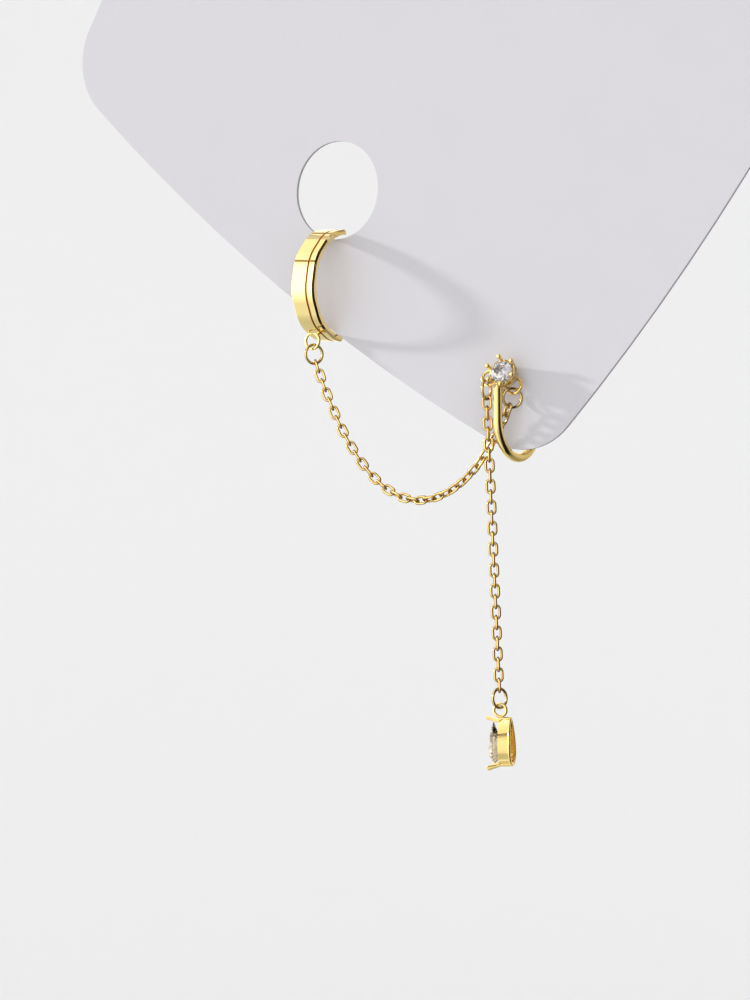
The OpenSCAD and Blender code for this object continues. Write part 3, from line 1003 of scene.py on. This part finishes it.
@dataclass
class LinkChain(Piece):
    """A chain of separate wire links."""

    links: LinkTree = None
    sizes: LinkSizes = field(default_factory=LinkSizes)

    def frames(self) -> list:
        """Returns each link's place in metres and its turn as a matrix."""
        raise NotImplementedError

    def build(self) -> None:
        """Runs the link tree over the chain's points and keeps its mesh."""
        frames = self.frames()
        points = bpy.data.meshes.new(f"{self.node}_points")
        points.from_pydata([place for place, _ in frames], [], [])
        turns = points.attributes.new("link_turn", "FLOAT_VECTOR", "POINT")
        for index, (_, turn) in enumerate(frames):
            turns.data[index].vector = turn.to_euler("XYZ")
        carrier = bpy.data.objects.new(f"{self.node}_carrier", points)
        bpy.context.scene.collection.objects.link(carrier)
        modifier = carrier.modifiers.new("links", "NODES")
        modifier.node_group = self.links.tree
        keys = self.links.keys
        modifier[keys["Length"]] = (self.sizes.length - self.sizes.wire) * MM
        modifier[keys["Width"]] = (self.sizes.width - self.sizes.wire) * MM
        modifier[keys["Wire"]] = self.sizes.shown_wire / 2.0 * MM
        modifier[keys["Finish"]] = self.material
        depsgraph = bpy.context.evaluated_depsgraph_get()
        mesh = bpy.data.meshes.new_from_object(carrier.evaluated_get(depsgraph))
        bpy.data.objects.remove(carrier)
        maker = MeshMaker()
        maker.work.from_mesh(mesh)
        name = f"{self.node}_links"
        self.place(bpy.data.objects.new(name, maker.mesh(name)))


@dataclass
class SwagChain(LinkChain):
    """The chain that hangs from the cuff to the clip."""

    start: tuple = (-14.623, -8.73073, -104.624)
    end: tuple = (13.1239, -9.35146, -111.165)
    count: int = 34
    skew: float = 1.2
    roll_start: float = -36.0
    roll_end: float = -22.0

    def frames(self) -> list:
        """Returns the links' places and turns along the hanging line."""
        start, end = Vector(self.start), Vector(self.end)
        pitch, to_ring = self.sizes.pitch(), self.sizes.to_ring()
        line = HangingLine(start, end, 2.0 * to_ring + (self.count - 1) * pitch, self.skew)
        solved = line.solve()
        heading = math.atan2(end.y - start.y, end.x - start.x)
        frames = []
        for index in range(self.count):
            along, up, slope = line.at(to_ring + index * pitch, solved)
            share = index / (self.count - 1)
            roll = self.roll_start + (self.roll_end - self.roll_start) * share + 90.0 * ((index + 1) % 2)
            place = start + Vector((along * math.cos(heading), along * math.sin(heading), up))
            turn = (Matrix.Rotation(heading, 3, "Z") @ Matrix.Rotation(-slope, 3, "Y")
                    @ turned(roll + 90.0, "X"))
            frames.append((place * MM, turn))
        return frames


@dataclass
class DropChain(LinkChain):
    """The straight chain that carries the pear drop."""

    top: tuple = (10.7881, -10.4973, -110.146)
    count: int = 28
    turn_start: float = 26.0
    turn_end: float = 42.0

    def frames(self) -> list:
        """Returns the links' places and turns down the chain."""
        upright = turned(90.0, "Y") @ turned(90.0, "X")
        frames = []
        for index in range(self.count):
            turn = self.turn_start + (self.turn_end - self.turn_start) * index / (self.count - 1)
            turn += 90.0 * (index % 2)
            down = self.sizes.to_ring() + index * self.sizes.pitch()
            place = Vector(self.top) - Vector((0.0, 0.0, down))
            frames.append((place * MM, turned(turn, "Z") @ upright))
        return frames


@dataclass
class ShowCard:
    """The plain card that carries the earring."""

    material: Material

    def build(self, frame: dict) -> None:
        """Gives the card's solid its finish.
        """
        materials = frame["nodes"]["display_card"].data.materials
        materials.clear()
        materials.append(self.material)
        LOG.info("display_card: finish only")


@dataclass
class Finishes:
    """All materials of the earring and its card."""

    effects: Effects
    gold: Material = None
    wire: Material = None
    cuff: Material = None
    chain: Material = None
    stone: Material = None
    reflection_tinted_drop_stone: Material = None
    card: Material = None

    def make(self) -> None:
        """Makes every material once."""
        self.gold = GoldPlate("polished_gold").make(self.effects)
        # Rings and chain links get painted shade that darkens their rims
        self.wire = GoldPlate("wire_gold", rim_shade_share=0.9).make(self.effects)
        self.cuff = GroovedGold("grooved_gold").make(self.effects)
        self.chain = GoldPlate("chain_plate", colour=(1.0, 0.71, 0.26), deep_colour=(0.78, 0.45, 0.12),
                               smooth=0.1, worn=0.24, rim_shade_share=0.9).make(self.effects)
        self.stone = CutStone("cut_stone").make(self.effects)
        # Painted reflection: the pear stone is tinted warm, standing in for the gold it reflects
        self.reflection_tinted_drop_stone = CutStone("gold_reflection_tinted_stone", tint=(0.95, 0.86, 0.68),
                                   shade=(0.62, 0.5, 0.34)).make(self.effects)
        self.card = CardStock("card_stock").make(self.effects)


@dataclass
class Earring:
    """The whole earring: cuff, chains, clip and drop."""

    finishes: Finishes
    setting_turn: tuple = (-17.5, -9.3, 12.3)
    pear_facing: float = -69.0
    stone_back: float = 0.58
    pear_front: float = 0.85
    rings: tuple = ("cuff_ring", "chain_ring", "drop_top_ring", "drop_ring")

    def clip_matrix(self) -> Matrix:
        """Returns the turn of the clip's setting, with the card's lean."""
        x, y, z = self.setting_turn
        return turned(-CARD_LEAN, "X") @ (turned(z, "Z") @ turned(y, "Y") @ turned(x, "X"))

    def build(self, frame: dict) -> None:
        """Builds every metal piece, stone and chain.
        """
        gold = self.finishes.gold
        CuffBand("ear_cuff", Body.CARD, Slot.GOLD, self.finishes.cuff, edge_angle=30.0).build(frame)
        for name in self.rings:
            Metalwork(name, Body.CARD, Slot.GOLD, self.finishes.wire, edge_angle=50.0).build(frame)
        turn = self.clip_matrix()
        ClipWork("lobe_clip", Body.CARD, Slot.GOLD, gold, setting=turn).build(frame)
        drop_turn = turned(self.pear_facing, "Z")
        DropWork("pear_setting", Body.DROP, Slot.GOLD, gold, soft_edge=0.09, turn=drop_turn).build(frame)
        middle = point(*CLIP_STONE) + turn @ point(0.0, self.stone_back, 0.0)
        RoundBrilliant("round_stone", Body.CARD, Slot.STONE, self.finishes.stone, middle, turn).build()
        middle = point(*PENDANT_PIVOT) + drop_turn @ point(0.0, -self.pear_front, -PEAR_DOWN)
        PearBrilliant("pear_stone", Body.DROP, Slot.STONE, self.finishes.reflection_tinted_drop_stone, middle,
                      drop_turn).build()
        links = LinkTree()
        SwagChain("link_chain", Body.CARD, Slot.CHAIN, self.finishes.chain, links).build()
        DropChain("drop_chain", Body.CARD, Slot.CHAIN, self.finishes.chain, links).build()


@dataclass
class PhotoCamera:
    """Camera at the viewing angle of the picture; lengths in millimetres, angles in degrees."""

    roll: float = 2.45
    distance: float = 600.0
    across: float = 15.299
    up: float = 14.6535
    focal_pixels: float = 5100.0
    frame_height: float = 1000.0
    sensor: float = 36.0

    def build(self) -> None:
        """Places the camera."""
        right, away = view_sides()
        back = -away
        up = Vector((0.0, 0.0, 1.0))
        roll = math.radians(self.roll)
        own_up = up * math.cos(roll) + right * math.sin(roll)
        own_right = right * math.cos(roll) - up * math.sin(roll)
        place = Vector(CLIP_STONE) + back * self.distance - right * self.across - up * self.up
        data = bpy.data.cameras.new("photo_camera")
        data.sensor_fit = "VERTICAL"
        data.sensor_height = self.sensor
        data.lens = self.focal_pixels / self.frame_height * self.sensor
        data.clip_start = 0.01
        data.clip_end = 20.0
        camera = bpy.data.objects.new("photo_camera", data)
        camera.matrix_world = Matrix((
            (own_right.x, own_up.x, back.x, place.x * MM),
            (own_right.y, own_up.y, back.y, place.y * MM),
            (own_right.z, own_up.z, back.z, place.z * MM),
            (0.0, 0.0, 0.0, 1.0)))
        bpy.context.scene.collection.objects.link(camera)
        bpy.context.scene.camera = camera


@dataclass
class Studio:
    """Pale sweep, soft key light from the left and an even surround; lengths in metres."""

    floor_z: float = -0.27
    wall: float = 0.75
    bend: float = 0.3
    bend_step: int = 6
    front: float = 2.5
    height: float = 2.5
    reach: float = 1.5
    backdrop: tuple = (0.86, 0.86, 0.86)
    suns: tuple = (("key", (4.38, 1.0, -1.33), 2.2, 3.5), ("fill", (-0.9, 1.0, -0.6), 0.25, 30.0))
    even: tuple = (0.95, 0.95, 0.955)
    clear_share: float = 0.6

    def sweep(self) -> None:
        """Makes the floor that bends up into a wall behind the object.

        The wall is clear from its rear, so that the object also shows from behind.
        """
        side, away = view_sides()
        start = self.wall - self.bend
        turns = [math.radians(degrees) for degrees in range(self.bend_step, 91, self.bend_step)]
        profile = [(-self.front, 0.0), (start, 0.0)]
        profile += [(start + self.bend * math.sin(t), self.bend - self.bend * math.cos(t)) for t in turns]
        profile.append((self.wall, self.height))
        work = bmesh.new()
        rows = []
        for reach in (-self.reach, self.reach):
            rows.append([work.verts.new(away * far + side * reach + Vector((0.0, 0.0, self.floor_z + up)))
                         for far, up in profile])
        for index in range(len(profile) - 1):
            face = work.faces.new((rows[0][index], rows[1][index], rows[1][index + 1], rows[0][index + 1]))
            face.smooth = True
        mesh = bpy.data.meshes.new("pale_floor")
        work.to_mesh(mesh)
        work.free()
        floor = bpy.data.objects.new("pale_floor", mesh)
        bpy.context.scene.collection.objects.link(floor)
        material, tree, shader = Finish("pale_floor").start()
        rear = tree.add("ShaderNodeNewGeometry").outputs["Backfacing"]
        tree.fill(shader, {"Base Color": self.backdrop, "Roughness": 0.9, "Specular IOR Level": 0.1,
                           "Alpha": tree.math("SUBTRACT", 1.0, rear)})
        mesh.materials.append(material)
        floor.visible_glossy = False

    def lights(self) -> None:
        """Adds the key light and a weak fill."""
        for name, direction, power, width in self.suns:
            data = bpy.data.lights.new(name, "SUN")
            data.energy = power
            data.angle = math.radians(width)
            light = bpy.data.objects.new(name, data)
            light.rotation_mode = "QUATERNION"
            light.rotation_quaternion = Vector(direction).to_track_quat("-Z", "Y")
            bpy.context.scene.collection.objects.link(light)

    def surround(self) -> None:
        """Makes an even pale world whose reflections hold soft boxes and dark gaps."""
        world = bpy.data.worlds.new("studio")
        world.use_nodes = True
        bpy.context.scene.world = world
        tree = NodeTree(world.node_tree)
        background = world.node_tree.nodes["Background"]
        place = tree.add("ShaderNodeTexCoord").outputs["Generated"]
        parts = tree.add("ShaderNodeSeparateXYZ", {0: place})
        front = tree.math("MULTIPLY", parts.outputs["Y"], -1.0)
        round_about = tree.math("ARCTAN2", parts.outputs["X"], front)
        share = tree.math("ADD", tree.math("DIVIDE", round_about, 2.0 * math.pi), 0.5)
        boxes = tree.ramp(share, [
            (0.0, (0.75, 0.7, 0.62)), (0.1, (1.35, 1.33, 1.27)), (0.295, (1.3, 1.28, 1.24)),
            (0.34, (1.5, 1.5, 1.47)), (0.40, (2.6, 2.6, 2.6)), (0.47, (1.4, 1.38, 1.33)),
            (0.56, (1.05, 1.02, 0.96)), (0.605, (0.8, 0.75, 0.66)), (0.63, (0.03, 0.025, 0.02)),
            (0.83, (0.03, 0.025, 0.02)), (0.87, (0.6, 0.56, 0.47)), (1.0, (0.75, 0.7, 0.62))])
        height = tree.ramp(tree.math("ADD", tree.math("MULTIPLY", parts.outputs["Z"], 0.5), 0.5), [
            (0.0, (0.5, 0.53, 0.53)), (0.2, (0.5, 0.53, 0.53)), (0.3, (0.56, 0.58, 0.58)),
            (0.36, (0.78, 0.79, 0.79)), (0.5, (1.0, 1.0, 0.98)), (0.7, (1.0, 1.0, 0.98)),
            (0.792, (0.75, 0.73, 0.67)), (0.8, (0.1, 0.075, 0.03)), (0.825, (0.1, 0.075, 0.03)),
            (0.84, (0.85, 0.82, 0.76)), (0.9, (0.95, 0.93, 0.88)), (1.0, (0.95, 0.93, 0.88))])
        shine = tree.mix(1.0, boxes, height, "MULTIPLY")
        rays = tree.add("ShaderNodeLightPath")
        clear = tree.math("MULTIPLY", rays.outputs["Is Transmission Ray"], self.clear_share)
        glossy = tree.math("MAXIMUM", rays.outputs["Is Glossy Ray"], clear)
        colour = tree.mix(glossy, self.even, shine)
        tree.link(colour, background.inputs["Color"])

    def build(self) -> None:
        """Builds the sweep, the lights and the surround."""
        self.sweep()
        self.lights()
        self.surround()
        bpy.context.scene.view_settings.view_transform = "Standard"


def main() -> None:
    """Loads the frame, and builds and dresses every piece."""
    logging.basicConfig(level=logging.INFO, format="%(message)s")
    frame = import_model()
    PhotoCamera().build()
    finishes = Finishes(Effects(HandlingWear(), PaperGrain()))
    finishes.make()
    ShowCard(finishes.card).build(frame)
    Earring(finishes).build(frame)
    Studio().build()


if __name__ == "__main__":
    main()
